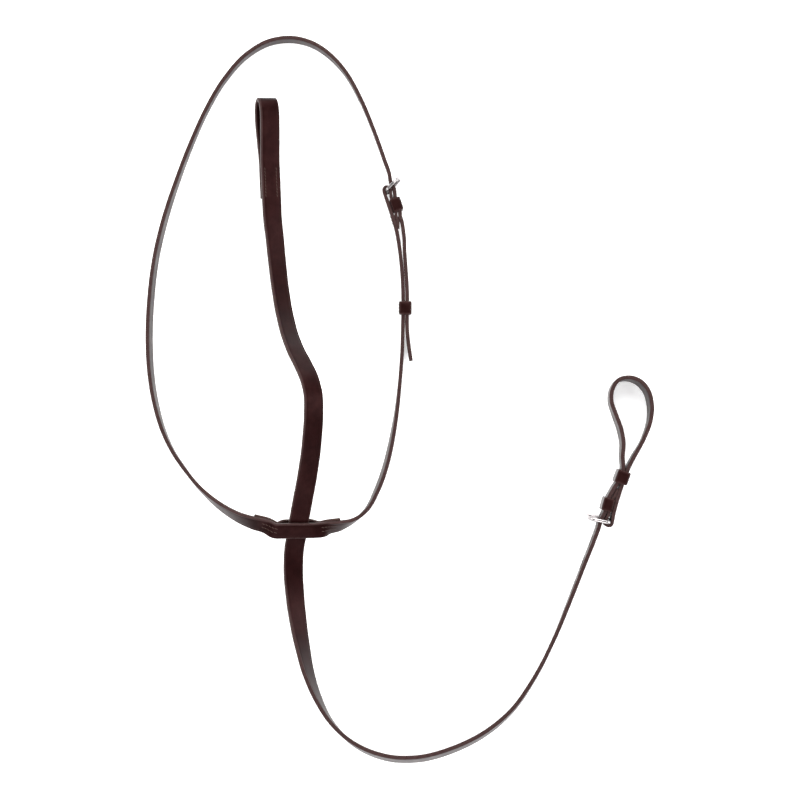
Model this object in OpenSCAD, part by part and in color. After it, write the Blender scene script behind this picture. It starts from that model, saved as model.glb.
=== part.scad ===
// Standing martingale: a buckled neck strap with a slot at the breast, and one long standing
// strap that runs through the slot from a sewn noseband loop to a buckled girth loop.
// Laid out on the ground: +Z up, the origin under the middle of the outline.

/* [Overall] */
// Width of the whole layout
plan_w = 510; // [420:5:620]
// Length of the whole layout
plan_l = 730; // [600:5:880]

/* [Straps] */
// Width of the neck strap
neck_w = 16; // [13:0.5:20]
// Thickness of the neck strap
neck_t = 3.8; // [3:0.1:4.6]
// Width of the standing strap
standing_w = 20; // [16:0.5:25]
// Thickness of the standing strap
standing_t = 4; // [3.2:0.1:4.8]
// Thickness of a thinned fold and turned end
turn_t = 3; // [2.4:0.1:3.6]
// Bevel taken off each strap edge
edge_bevel = 0.7; // [0.3:0.1:1]

/* [Breast slot] */
// Thickness of the backing piece
backing_t = 2.6; // [2:0.1:3.4]
// Length of the backing piece
backing_l = 92; // [84:1:110]
// Clearance over and under the standing strap in the slot
slot_clear = 0.6; // [0.4:0.1:1.2]
// Clearance beside the standing strap in the slot
slot_side = 0.9; // [0.6:0.1:2]
// Length over which the neck strap rises round the standing strap
slot_ramp = 8.5; // [8:0.5:12]

/* [Buckles] */
// Wire of the neck buckle
neck_wire = 3; // [2.4:0.1:3.6]
// Length of the neck buckle, bar to front
neck_frame_l = 16; // [15:0.5:20]
// Wire of the girth buckle
girth_wire = 3.6; // [3:0.1:4.2]
// Length of the girth buckle, bar to front
girth_frame_l = 19.5; // [18:0.5:24]
// Room between a strap's edge and the buckle's side
frame_clear = 0.5; // [0.3:0.1:1]
// Rounding of the buckle's front corners
frame_round = 6.5; // [4:0.5:8]
// Thickness of a buckle tongue
tongue_d = 2.3; // [2:0.1:2.6]
// Radial clearance of a tongue's eye on its bar
eye_clear = 0.08; // [0.04:0.01:0.1]
// Room between the bar and the leather folded round it
fold_clear = 0.25; // [0.2:0.05:0.5]
// Length of the turned end at the neck buckle
neck_turn_l = 39; // [34:1:44]
// Length of the turned end at the girth buckle
girth_turn_l = 34; // [33:1:36]

/* [Holes] */
// Width of a buckle hole
hole_w = 4; // [3.6:0.1:5]
// Length of a buckle hole
hole_l = 8.2; // [7.6:0.1:9]
// Distance from hole to hole
hole_pitch = 25; // [20:1:30]

/* [Keepers] */
// Thickness of a keeper's leather
keeper_t = 2; // [1.6:0.1:2.4]
// Length of a keeper along the strap
keeper_l = 13; // [10:0.5:14]
// Room between a keeper and the strap's edges
keeper_clear = 0.4; // [0.3:0.1:0.8]
// Room between a keeper and the strap's faces
keeper_slack = 0.5; // [0.3:0.1:1]
// Thickness of the fixed keeper's tucked end
tuck_t = 1.2; // [1:0.1:1.6]

/* [Stitching] */
// Thickness of the thread
thread_d = 0.7; // [0.5:0.1:1]
// Length of one stitch
stitch_l = 3.3; // [2.6:0.1:4]
// Distance from a row of stitches to the strap's edge
stitch_in = 3.4; // [2.8:0.1:4]

/* [Hidden] */

leather = [0.17, 0.11, 0.10];
keeper_leather = [0.20, 0.13, 0.12];
thread = [0.10, 0.07, 0.06];
steel = [0.78, 0.79, 0.80];

thread_proud = 0.15; // thread standing out of the leather
sewn_gap = 0.1;      // between layers that are sewn together
rub_gap = 0.25;      // between layers that slide on each other
coarse = 6;          // longest step along a strap
fine = 2;            // longest step near the slot
grid_w = 510;        // layout width that the routes below are drawn for
grid_l = 730;        // layout length that the routes below are drawn for
full_turn = 180;

// ---- where the straps cross --------------------------------------------------------------
slot_at = plan([-101, -127, 27]);          // middle of the standing strap in the slot
slot_skew = 10.6;                          // turn of the standing strap away from +Y
slot_pitch = 19.1;                         // rise of the standing strap through the slot
slot_fall = 14;                            // fall of the slot towards +X
slot_run = 20;                             // straight length each side of the slot's middle
standing_dir = [sin(slot_skew) * cos(slot_pitch), cos(slot_skew) * cos(slot_pitch), sin(slot_pitch)];
neck_dir = [-cos(slot_fall), 0, sin(slot_fall)];
slot_up = unit(cross(standing_dir, neck_dir));
standing_roll = asin(-slot_up * unit(cross([0, 0, 1], standing_dir)));
neck_roll = full_turn - asin(slot_up * unit(cross([0, 0, 1], neck_dir)));
slot_gap = standing_t + 2 * slot_clear;                     // height of the slot
slot_half = standing_w / 2 / cos(slot_skew) + neck_w / 2 * tan(slot_skew) + slot_side;
slot_share = 0.2;                          // part of the slot's height taken up by the neck strap's rise
neck_base = slot_at + slot_up * (slot_gap * (0.5 - slot_share) + neck_t / 2);  // without its rise

// ---- heights over the ground ---------------------------------------------------------------
neck_lift = neck_wire + frame_clear;       // the buckle's side bar carries the strap
girth_lift = girth_wire + frame_clear;
keeper_lift = keeper_clear + keeper_t;     // the sliding keeper carries the strap

// ---- layers of the buckled ends, counted outwards from the strap that carries the buckle ----
function layers(t, wire) =
    let (tucked = t / 2 + 2 * sewn_gap + tuck_t + turn_t / 2,
         fold = wire / 2 + fold_clear + turn_t / 2,
         sewn = t / 2 + sewn_gap + turn_t / 2)
    [fold, tucked, sewn, tucked + turn_t / 2 + rub_gap + t / 2, sewn + turn_t / 2 + rub_gap + t / 2,
     t + rub_gap];
FOLD = 0;       // radius of the fold's middle line
TUCKED = 1;     // turned end beside the tucked keeper
SEWN = 2;       // turned end sewn straight to the strap
OVER_TUCK = 3;  // billet beside the keeper
OVER_SEWN = 4;  // billet on the sewn turned end
DOUBLE = 5;     // billet straight on the strap
neck_layer = layers(neck_t, neck_wire);
girth_layer = layers(standing_t, girth_wire);

neck_swing = 61;        // buckle turned out of line with its strap
girth_swing = 93;
neck_cross = 7.1;       // bar to billet, along the neck buckle
girth_cross = 8.1;      // bar to billet, along the girth buckle
fixed_keeper_s = 16.5;  // keeper places, along the strap from the fold
neck_keeper_s = 118;
girth_keeper_s = 46;

// ---- routes: x, y, height of the lower edge, roll (0 flat, 90 on edge) ------------------------
// neck strap, from its buckle down the right side and clockwise round to the buckle again
neck_right = [
    [-16, 207, neck_lift, 90], [-9.4, 188.5, neck_lift, 90], [-3.6, 169, neck_lift, 90],
    [-0.2, 149, neck_lift, 90], [1.9, 129, 3, 90], [3, 109, keeper_lift, 90],
    [3.2, 89, keeper_lift, 90], [2.8, 70, 2, 90], [2.2, 50, 1, 90], [0.5, 25, 0, 90],
    [-2.5, -5, 0, 87], [-7.2, -35, 0, 82], [-15.4, -69.5, 0, 79], [-23, -90, 0.5, 80],
    [-33.6, -109.5, 2, 87], [-41, -116.5, 3.5, 93], [-49.5, -121.5, 5.5, 104],
    [-59.5, -124.8, 9.5, 124], [-70, -126.5, 14.2, 137]];
neck_left = [
    [-131, -124.5, 28.8, 150], [-144, -121, 26.5, 140], [-158, -116.2, 21.5, 127],
    [-178, -105.2, 12, 113], [-198.5, -88, 5, 100], [-214, -69.5, 1, 95], [-227, -50, 0, 93],
    [-236, -30, 0, 89], [-244.2, 0, 0, 85], [-248.5, 30, 0, 83], [-249.8, 60, 0, 82],
    [-248.2, 100, 0, 82], [-243.5, 139.5, 0, 83], [-234.4, 179, 0, 84], [-221.5, 219, 0, 87],
    [-206.2, 259, 0, 89], [-192.8, 288.5, 0, 90], [-175.4, 318, 0, 90], [-151, 344.5, 0, 88],
    [-131.5, 355.6, 0, 86], [-109.5, 359.1, 0, 84], [-88, 354.4, 0, 84], [-70, 342.8, 0, 85],
    [-56, 328, 0, 87], [-38.8, 298.5, 0, 89], [-26.4, 269, 1, 90], [-15.6, 239, 2.5, 90],
    [-10.6, 224.5, neck_lift, 90]];
// standing strap, from its buckle up the right leg of the girth loop and down the left leg
girth_loop = [
    [210, -121.5, girth_lift, 90], [211.8, -110, girth_lift, 90], [214.6, -99.5, girth_lift, 90],
    [217.8, -89.5, girth_lift, 90], [221.2, -79.5, girth_lift, 90], [225.2, -69, girth_lift, 90],
    [230.2, -59, girth_lift, 89], [241.2, -39.6, 3, 87], [248.2, -20, 1.5, 91], [249, -5, 0.5, 95],
    [244.6, 10, 0, 98], [236.5, 18.4, 0, 99], [227, 21.5, 0, 97], [217.5, 19.8, 0, 94],
    [210.6, 10.5, 0, 91], [209.4, -1, 0.5, 89], [213.4, -14.5, 1.5, 87], [218.3, -28.5, 2.5, 86],
    [220.9, -43, 3.5, 88], [220.2, -56, girth_lift, 90]];
// on from the girth buckle, round the long curve on the ground and up to the slot
ground_run = [
    [197, -125, girth_lift, 90], [192, -139, girth_lift, 90], [184.2, -159, 3.2, 91],
    [169, -199, 1, 93], [153, -238.5, 0, 96], [132.7, -278.3, 0, 99], [112, -308, 0, 102],
    [89.8, -328, 0, 106], [52, -348, 0, 110], [20, -356.7, 0, 111], [-10, -356.4, 0, 110],
    [-34, -348.8, 0, 106], [-52, -337.6, 0, 100], [-70, -318.5, 0, 91], [-81.5, -297.5, 0, 80],
    [-91, -272, 0, 67], [-97, -246, 0, 54], [-101.6, -220, 0, 41], [-104.5, -196, 1.5, 31],
    [-105.9, -175, 6, 23]];
// on from the slot, over the hump and down to the noseband loop
hump = [
    [-92.3, -83, 38.5, 18], [-88, -59, 48, 21], [-84.8, -34, 59, 24], [-83.3, -12, 66, 27],
    [-83.6, 4, 67, 29], [-87.4, 20, 61.5, 33], [-94, 34, 52, 38], [-102, 49, 41, 41],
    [-109, 66.5, 28, 41], [-114.3, 86, 16.5, 40], [-118.3, 107, 8, 39], [-121.6, 131, 2.5, 37],
    [-124.4, 158, 1.8, 33], [-127.2, 186, 3.5, 28], [-127.7, 198.5, 4.6, 25]];
// noseband loop: along the strap and off its face, from the foot of the sewn part
loop_sewn = 37;      // length of the sewn part
loop_side = [[10, 0], [24, 0], [31, 0], [loop_sewn, 0], [50, 1.1], [66, 3], [82, 4.4], [92.5, 3.6],
             [98.2, 0.9], [100, -2.8], [98, -6.6], [92.5, -9.2], [82, -10], [66, -8.6], [50, -5.8]];

// ---- vectors and curves ---------------------------------------------------------------------
function unit(v) = v / norm(v);
function xyz(q) = [q[0], q[1], q[2]];
function last(q) = q[len(q) - 1];
function backwards(q) = [for (i = [len(q) - 1:-1:0]) q[i]];
function plan(p) = [p[0] * plan_w / grid_w, p[1] * plan_l / grid_l, p[2]];
function chord(q, i) = norm(xyz(q[i + 1]) - xyz(q[i]));

// direction of the curve at point i, from the two chords that meet there
function lean(q, i) =
    i == 0 ? (q[1] - q[0]) / chord(q, 0)
    : i == len(q) - 1 ? (q[i] - q[i - 1]) / chord(q, i - 1)
    : let (a = chord(q, i - 1), b = chord(q, i))
      ((q[i] - q[i - 1]) * b / a + (q[i + 1] - q[i]) * a / b) / (a + b);
function step_near(p) = min([for (c = close_places) norm(xyz(p) - c)]) < 40 ? fine : coarse;
// a smooth curve through the points, as closely spaced points
function curve(q) = [
    for (i = [0:len(q) - 2])
        let (d = chord(q, i), a = lean(q, i) * d, b = lean(q, i + 1) * d,
             n = max(1, ceil(d / step_near(q[i]))))
            for (j = [0:n - 1]) let (u = j / n, v = 1 - u)
                q[i] * (1 + 2 * u) * v * v + a * u * v * v
                    + q[i + 1] * u * u * (3 - 2 * u) - b * u * u * v,
    last(q)];
// a route's point with its height measured to the strap's middle
function stand(r, w, t) =
    [for (q = r) let (p = plan(q))
        [p[0], p[1], q[2] + w / 2 * abs(sin(q[3])) + t / 2 * abs(cos(q[3])), q[3]]];

// A station is [point, direction across the strap]. rolled() makes them from rolled points.
function rolled(c) = [
    for (i = [0:len(c) - 1])
        let (t = unit(xyz(c[min(i + 1, len(c) - 1)]) - xyz(c[max(i - 1, 0)])),
             h = unit(cross([0, 0, 1], t)))
            [xyz(c[i]), cos(c[i][3]) * h + sin(c[i][3]) * cross(t, h)]];
function ahead(st, i) = unit(st[min(i + 1, len(st) - 1)][0] - st[max(i - 1, 0)][0]);
function squared(w, t) = unit(w - (w * t) * t);
function face_of(st, i) = let (t = ahead(st, i)) cross(t, squared(st[i][1], t));

// A rail holds the same stations against the distance along them.
function reach(st) = [for (i = 0, s = 0; i < len(st);
                           s = s + (i < len(st) - 1 ? norm(st[i + 1][0] - st[i][0]) : 0), i = i + 1) s];
function rail(st) = let (s = reach(st))
    [for (k = [0:5]) [for (i = [0:len(st) - 1]) [s[i], st[i][floor(k / 3)][k % 3]]]];
function rail_end(r) = last(r[0])[0];
function on(r, s) = [for (k = [0:2]) lookup(s, r[k])];
function along(r, s) = unit(on(r, s + 0.5) - on(r, s - 0.5));
function across(r, s) = squared([for (k = [3:5]) lookup(s, r[k])], along(r, s));
function off_face(r, s) = cross(along(r, s), across(r, s));
function beside(r, s, off) = on(r, s) - off_face(r, s) * off;
// distance along a rail that comes nearest to p, looked for between two distances
function nearest(r, p, from, to) =
    let (c = [for (s = [from:0.25:to]) s], d = [for (s = c) norm(on(r, s) - p)]) c[search(min(d), d)[0]];

// ---- the leather band: a bevelled section carried along stations ------------------------------
function section(w, t) = let (x = w / 2, y = t / 2, b = min(edge_bevel, t / 3, w / 3))
    [[x, y - b], [x - b, y], [b - x, y], [-x, y - b], [-x, b - y], [b - x, -y], [x - b, -y], [x, b - y]];
module band(st, w, t) {
    n = len(st);
    k = len(section(w[0], t[0]));
    points = [for (i = [0:n - 1])
        let (a = ahead(st, i), c = squared(st[i][1], a), f = cross(a, c))
            for (q = section(w[i], t[i])) st[i][0] + q[0] * c + q[1] * f];
    sides = [for (i = [0:n - 2], j = [0:k - 1])
        let (a = i * k + j, b = i * k + (j + 1) % k)
            each [[a, a + k, b + k], [a, b + k, b]]];
    ends = [[for (j = [0:k - 1]) j], [for (j = [k - 1:-1:0]) (n - 1) * k + j]];
    polyhedron(points, concat(sides, ends));
}
// puts its children on a rail: X along it, Y across it, Z off its face
module at(r, s) {
    t = along(r, s);
    w = across(r, s);
    n = off_face(r, s);
    p = on(r, s);
    multmatrix([for (k = [0:2]) [t[k], w[k], n[k], p[k]]]) children();
}

// ---- where the buckles sit ----------------------------------------------------------------------
neck_start = stand(neck_right, neck_w, neck_t);
girth_start = stand(girth_loop, standing_w, standing_t);
function start_dir(c) = unit(xyz(c[1]) - xyz(c[0]));
function left_of(d) = [-d[1], d[0], 0];
function bar_at(c, layer) = xyz(c[0]) + left_of(start_dir(c)) * layer[FOLD];
function turned(d, a) = [d[0] * cos(a) - d[1] * sin(a), d[0] * sin(a) + d[1] * cos(a), 0];
neck_bar = bar_at(neck_start, neck_layer);
girth_bar = bar_at(girth_start, girth_layer);
neck_front = turned(-start_dir(neck_start), -neck_swing);
girth_front = turned(-start_dir(girth_start), -girth_swing);
close_places = [neck_base, neck_bar, girth_bar];

// ---- the neck strap's path ------------------------------------------------------------------------
straight = slot_half + slot_ramp + 3;
neck_crossing = [for (d = [-straight, -straight / 2, 0, straight / 2, straight])
    concat(neck_base + neck_dir * d, [neck_roll])];
neck_rail = rail(rolled(curve(neck_start)));
function bar_point(bar, front, d, roll) = concat(bar + front * d, [roll]);
function billet(r, q) = [for (i = q) concat(beside(r, i[0], i[1]), [90])];
neck_billet = billet(neck_rail, [
    [0, neck_layer[FOLD] + neck_cross], [10, neck_layer[OVER_TUCK]], [16.5, neck_layer[OVER_TUCK]],
    [23.5, neck_layer[OVER_TUCK]], [28, neck_layer[OVER_SEWN] + 0.1],
    [34, neck_layer[OVER_SEWN] + 0.1], [41, neck_layer[OVER_SEWN] - 0.5],
    [50, neck_layer[DOUBLE] + 1.9], [61, neck_layer[DOUBLE] + 0.6], [74, neck_layer[DOUBLE]],
    [100, neck_layer[DOUBLE]], [118, neck_layer[DOUBLE]], [135, neck_layer[DOUBLE]],
    [148, neck_layer[DOUBLE] + 1.2], [158, neck_layer[DOUBLE] + 2.8], [170, neck_layer[DOUBLE] + 5.4]]);
neck_flat = rolled(curve(concat(neck_start, neck_crossing, stand(neck_left, neck_w, neck_t),
    [bar_point(neck_bar, neck_front, neck_cross, 90)], neck_billet)));
// the slot: how far the neck strap and its backing part there, by distance from the middle
function parting(p) = let (q = p - neck_base, d = abs(q * neck_dir),
                        u = min(1, max(0, (slot_half + slot_ramp - d) / slot_ramp)))
    norm(q) < 2 * straight && abs(q * slot_up) < neck_w ? slot_gap * u * u * (3 - 2 * u) : 0;
neck_main = [for (q = neck_flat) [q[0] + slot_up * slot_share * parting(q[0]), q[1]]];
neck_flat_rail = rail(neck_flat);
neck_main_rail = rail(neck_main);
slot_s = nearest(neck_flat_rail, neck_base, 200, 700);

// ---- the standing strap's path ----------------------------------------------------------------------
girth_rail = rail(rolled(curve(girth_start)));
girth_billet = billet(girth_rail, [
    [53, girth_layer[DOUBLE]], [46, girth_layer[DOUBLE]], [40, girth_layer[DOUBLE] + 0.3],
    [34, girth_layer[OVER_SEWN] - 1], [28, girth_layer[OVER_SEWN] + 0.2], [23, girth_layer[OVER_TUCK]],
    [16.5, girth_layer[OVER_TUCK]], [10, girth_layer[OVER_TUCK]]]);
slot_passing = [for (d = [-1, -0.5, 0, 0.5, 1] * slot_run)
    concat(slot_at + standing_dir * d, [standing_roll])];
standing_main = rolled(curve(concat(girth_start, girth_billet,
    [bar_point(girth_bar, girth_front, girth_cross, 90)],
    stand(ground_run, standing_w, standing_t), slot_passing, stand(hump, standing_w, standing_t))));
standing_rail = rail(standing_main);
noseband_foot = rail_end(standing_rail);

// ---- folds and loops ----------------------------------------------------------------------------------
function turn_thickness(s, turn_l) = lookup(s, [[0, turn_t], [turn_l - 6, turn_t], [turn_l, turn_t / 2]]);
// the turned end, from its tip to the fold, and the fold round the bar
function turned_end(r, t, layer, bar, turn_l) = [
    for (s = [turn_l, turn_l - 3, turn_l - 6, 26, 24.5, 23, 20, 17, 14, 11, 8, 5, 2.5, 0])
        [beside(r, s, s > 25 ? t / 2 + sewn_gap + turn_thickness(s, turn_l) / 2
            : lookup(s, [[0, 2 * layer[FOLD]], [1.5, 2 * layer[FOLD]], [7, layer[TUCKED]],
                         [23, layer[TUCKED]], [26, layer[SEWN]]])), across(r, s)],
    for (a = [15:15:165])
        [bar - off_face(r, 0) * layer[FOLD] * cos(a) - along(r, 0) * layer[FOLD] * sin(a), across(r, 0)]];
function turned_thickness(turn_l) = [
    for (s = [turn_l, turn_l - 3, turn_l - 6]) turn_thickness(s, turn_l),
    for (i = [1:22]) turn_t];
// main thickness, thinned where it joins the fold, and a rounded tip at the far end
function main_thickness(st, t) = [for (s = reach(st)) lookup(s, [[0, turn_t], [12, t]])];
function tip_width(st, w) = let (s = reach(st), e = last(s))
    [for (q = s) w * lookup(e - q, [[0, 0.3], [2, 0.6], [5, 0.82], [10, 0.96], [15, 1]])];

neck_turned = turned_end(neck_rail, neck_t, neck_layer, neck_bar, neck_turn_l);
girth_turned = turned_end(girth_rail, standing_t, girth_layer, girth_bar, girth_turn_l);

// the noseband loop leaves the foot of its sewn part, goes round and comes back under it
loop_t = along(standing_rail, noseband_foot);
loop_w = across(standing_rail, noseband_foot);
loop_n = off_face(standing_rail, noseband_foot);
loop_o = on(standing_rail, noseband_foot);
tail_off = -standing_t - 2 * sewn_gap;
loop_tail = [[loop_sewn + 6, tail_off - 0.5], [loop_sewn, tail_off - 0.1], [30, tail_off], [16, tail_off],
             [2, tail_off]];
loop_curve = curve([for (q = concat(loop_side, loop_tail)) concat(loop_o + loop_t * q[0] + loop_n * q[1], [0])]);
noseband_stations = [for (q = loop_curve) [xyz(q), loop_w]];

// ---- the straps -------------------------------------------------------------------------------------------
// a slotted hole for the tongue, cut through the leather
module slot_hole(depth) hull()
    for (x = [-1, 1] * (hole_l - hole_w) / 2)
        translate([x, 0, 0]) cylinder(d = hole_w, h = depth, center = true, $fn = 24);
// room in a fold for the tongue: a slot cut along the strap round the bar
module tongue_room(bar, r, layer) {
    reach_out = layer[FOLD] + turn_t / 2 + 0.1;
    d = along(r, 0);
    translate(bar) rotate([0, 0, atan2(d[1], d[0])]) {
        hull() {
            cylinder(r = reach_out, h = hole_w, center = true, $fn = 32);
            slice(3, -reach_out, reach_out);
        }
        hull() {
            slice(3, -reach_out, 0);
            slice(6, -reach_out, 0);
        }
        hull() {
            slice(3, 0, reach_out);
            slice(6, 0, reach_out - 1.2);
        }
    }
}
// a thin slice across the tongue's room at x, from y lo to y hi
module slice(x, lo, hi) translate([x, lo, -hole_w / 2]) cube([0.1, hi - lo, hole_w]);
function hole_place(r, bar, front, wire, cross_d, from, to) =
    let (e = wire / 2 + eye_clear + tongue_d / 2)
    nearest(r, bar + front * sqrt(cross_d * cross_d - e * e) + turned(front, -90) * e, from, to);

neck_hole_s = hole_place(neck_main_rail, neck_bar, neck_front, neck_wire, neck_cross,
                         rail_end(neck_main_rail) - 190, rail_end(neck_main_rail) - 150);
girth_hole_s = hole_place(standing_rail, girth_bar, girth_front, girth_wire, girth_cross, 200, 420);

module neck_strap() color(leather) difference() {
    band(concat(neck_turned, neck_main),
         concat([for (q = neck_turned) neck_w], tip_width(neck_main, neck_w)),
         concat(turned_thickness(neck_turn_l), main_thickness(neck_main, neck_t)));
    tongue_room(neck_bar, neck_rail, neck_layer);
    for (i = [-3:4])
        at(neck_main_rail, neck_hole_s + i * hole_pitch) slot_hole(neck_t + 1);
}
module neck_slot_backing() color(leather) {
    off = neck_t / 2 + sewn_gap + backing_t / 2;
    middle = slot_s + 2;
    st = [for (s = [middle - backing_l / 2:3:middle + backing_l / 2])
        let (part = parting(on(neck_flat_rail, s)) * (1 - slot_share))
            [beside(neck_flat_rail, s, -off) - slot_up * part, across(neck_flat_rail, s)]];
    band(st, [for (q = st) neck_w + 1], [for (q = st) backing_t]);
}
module standing_strap() color(leather) difference() {
    st = concat(girth_turned, standing_main, [for (i = [1:len(noseband_stations) - 1]) noseband_stations[i]]);
    band(st, [for (q = st) standing_w],
         concat(turned_thickness(girth_turn_l), main_thickness(standing_main, standing_t),
                [for (i = [1:len(noseband_stations) - 1]) standing_t]));
    tongue_room(girth_bar, girth_rail, girth_layer);
    for (i = [0:4])
        at(standing_rail, girth_hole_s + i * hole_pitch) slot_hole(standing_t + 1);
}

// ---- the buckles ------------------------------------------------------------------------------------------
// bar on the Z axis, front towards +X
module buckle_frame(wire, inside, length) {
    half = inside / 2 + wire / 2;
    small = wire * 0.75;
    r = wire / 2;
    cylinder(r = r, h = 2 * (half - small), center = true, $fn = 28);
    for (m = [0, 1]) mirror([0, 0, m]) {
        translate([small, 0, half - small]) rotate([90, 0, 0]) rotate([0, 0, 90])
            rotate_extrude(angle = 90, $fn = 40) translate([small, 0]) circle(r = r, $fn = 28);
        translate([small, 0, half]) rotate([0, 90, 0])
            cylinder(r = r, h = length - small - frame_round, $fn = 28);
        translate([length - frame_round, 0, half - frame_round]) rotate([90, 0, 0])
            rotate_extrude(angle = 90, $fn = 64) translate([frame_round, 0]) circle(r = r, $fn = 28);
    }
    translate([length, 0, 0]) cylinder(r = r, h = 2 * (half - frame_round), center = true, $fn = 28);
}
// eye round the Z axis, shank along +X on the side of the front bar that the billet leaves by
module buckle_tongue(wire, length) {
    e = wire / 2 + eye_clear + tongue_d / 2;
    tip = length + wire / 2;
    rotate_extrude($fn = 36) translate([e, 0]) circle(d = tongue_d - 0.2, $fn = 20);
    translate([0, -e, 0]) rotate([0, 90, 0]) cylinder(d = tongue_d, h = tip - 1, $fn = 24);
    translate([tip - 1, -e, 0]) rotate([0, 90, 0]) cylinder(d1 = tongue_d, d2 = tongue_d / 2, h = 2, $fn = 24);
}
module on_bar(bar, front) translate(bar) rotate([0, 0, atan2(front[1], front[0])]) children();

module neck_buckle_frame() color(steel)
    on_bar(neck_bar, neck_front) buckle_frame(neck_wire, neck_w + 2 * frame_clear, neck_frame_l);
module neck_buckle_tongue() color(steel)
    on_bar(neck_bar, neck_front) buckle_tongue(neck_wire, neck_frame_l);
module girth_buckle_frame() color(steel)
    on_bar(girth_bar, girth_front) buckle_frame(girth_wire, standing_w + 2 * frame_clear, girth_frame_l);
module girth_buckle_tongue() color(steel)
    on_bar(girth_bar, girth_front) buckle_tongue(girth_wire, girth_frame_l);

// ---- the keepers --------------------------------------------------------------------------------------------
// loop of leather round the X axis, open along it; lo and hi bound the opening off the face
module keeper(w, lo, hi, back_t) {
    y = w / 2 + keeper_clear;
    c = 1.2;
    b = keeper_t;
    rotate([90, 0, 90]) linear_extrude(keeper_l, center = true) difference() {
        polygon([[-y - b, lo - b + c], [-y - b + c, lo - b], [y + b - c, lo - b], [y + b, lo - b + c],
                 [y + b, hi + back_t - c / 2], [y + b - c / 2, hi + back_t],
                 [c / 2 - y - b, hi + back_t], [-y - b, hi + back_t - c / 2]]);
        polygon([[-y, lo], [y, lo], [y, hi], [-y, hi]]);
    }
}
// opening for the billet and the thin turned end: the face side is -Z
module fixed_keeper(r, w, t, layer) at(r, fixed_keeper_s)
    keeper(w, -layer[OVER_TUCK] - t / 2 - keeper_slack, -t / 2 - sewn_gap - tuck_t, tuck_t);
module sliding_keeper(r, s, w, t, layer) at(r, s)
    keeper(w, -layer[DOUBLE] - t / 2 - keeper_slack, t / 2 + keeper_slack, keeper_t);
module sliding_keeper_seam(r, s, t) at(r, s)
    for (x = [-1, 0, 1]) translate([x * stitch_l, 0, 0])
        stitch(t / 2 + keeper_slack - thread_proud, t / 2 + keeper_slack + keeper_t + thread_proud);
module neck_fixed_keeper() color(keeper_leather) fixed_keeper(neck_rail, neck_w, neck_t, neck_layer);
module girth_fixed_keeper() color(keeper_leather)
    fixed_keeper(girth_rail, standing_w, standing_t, girth_layer);
module neck_sliding_keeper() color(keeper_leather)
    sliding_keeper(neck_rail, neck_keeper_s, neck_w, neck_t, neck_layer);
module girth_sliding_keeper() color(keeper_leather)
    sliding_keeper(girth_rail, girth_keeper_s, standing_w, standing_t, girth_layer);

// ---- the stitching --------------------------------------------------------------------------------------------
// one stitch: a thread on each face and the leg that joins them, from z lo to z hi
module stitch(lo, hi) {
    a = stitch_l / 2 + thread_d / 4;
    d = thread_d;
    rotate([90, 0, 0]) linear_extrude(thread_d, center = true)
        polygon([[-a, lo], [a, lo], [a, lo + d], [d - a, lo + d], [d - a, hi - d], [a, hi - d], [a, hi], [-a, hi]]);
}
module stitch_row(r, from, to, y, lo, hi) {
    n = round((to - from) / stitch_l);
    for (i = [0:n - 1])
        at(r, from + (i + 0.5) * stitch_l) translate([0, y, 0]) stitch(lo, hi);
}
slot_rows = [neck_w / 2 - 4.9, neck_w / 2 - 9.1];
module slot_seam(from, to) for (y = slot_rows)
    stitch_row(neck_flat_rail, from, to, y, -neck_t / 2 - thread_proud,
               neck_t / 2 + sewn_gap + backing_t + thread_proud);
module neck_slot_seam_right() color(thread)
    slot_seam(slot_s - slot_half - slot_ramp - 18, slot_s - slot_half - slot_ramp);
module neck_slot_seam_left() color(thread)
    slot_seam(slot_s + slot_half + slot_ramp, slot_s + slot_half + slot_ramp + 18);
module buckle_seam(r, w, t, turn_l) for (y = [-1, 1] * (w / 2 - stitch_in))
    stitch_row(r, 24.5, turn_l - 3, y, -t / 2 - sewn_gap - turn_t * 0.8, t / 2 + thread_proud);
module neck_buckle_seam() color(thread) buckle_seam(neck_rail, neck_w, neck_t, neck_turn_l);
module girth_buckle_seam() color(thread) buckle_seam(girth_rail, standing_w, standing_t, girth_turn_l);
noseband_line = rail([for (s = [0:5:loop_sewn]) [loop_o + loop_t * s, loop_w]]);
module noseband_loop_seam() color(thread) for (y = [stitch_in + 1.2 - standing_w / 2, standing_w / 2 - stitch_in])
    stitch_row(noseband_line, 3, 34, y, -1.5 * standing_t - sewn_gap - thread_proud,
               standing_t / 2 + thread_proud);
module neck_sliding_keeper_seam() color(thread) sliding_keeper_seam(neck_rail, neck_keeper_s, neck_t);
module girth_sliding_keeper_seam() color(thread) sliding_keeper_seam(girth_rail, girth_keeper_s, standing_t);

neck_strap();
neck_slot_backing();
neck_slot_seam_left();
neck_slot_seam_right();
neck_buckle_frame();
neck_buckle_tongue();
neck_buckle_seam();
neck_fixed_keeper();
neck_sliding_keeper();
neck_sliding_keeper_seam();
standing_strap();
noseband_loop_seam();
girth_buckle_frame();
girth_buckle_tongue();
girth_buckle_seam();
girth_fixed_keeper();
girth_sliding_keeper();
girth_sliding_keeper_seam();
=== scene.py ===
"""A standing martingale in dark havana leather with two steel buckles, laid on a pale floor.

Every strap is a profile carried along the same route as the CAD model's. Lengths are in metres.
"""
import math

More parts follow.
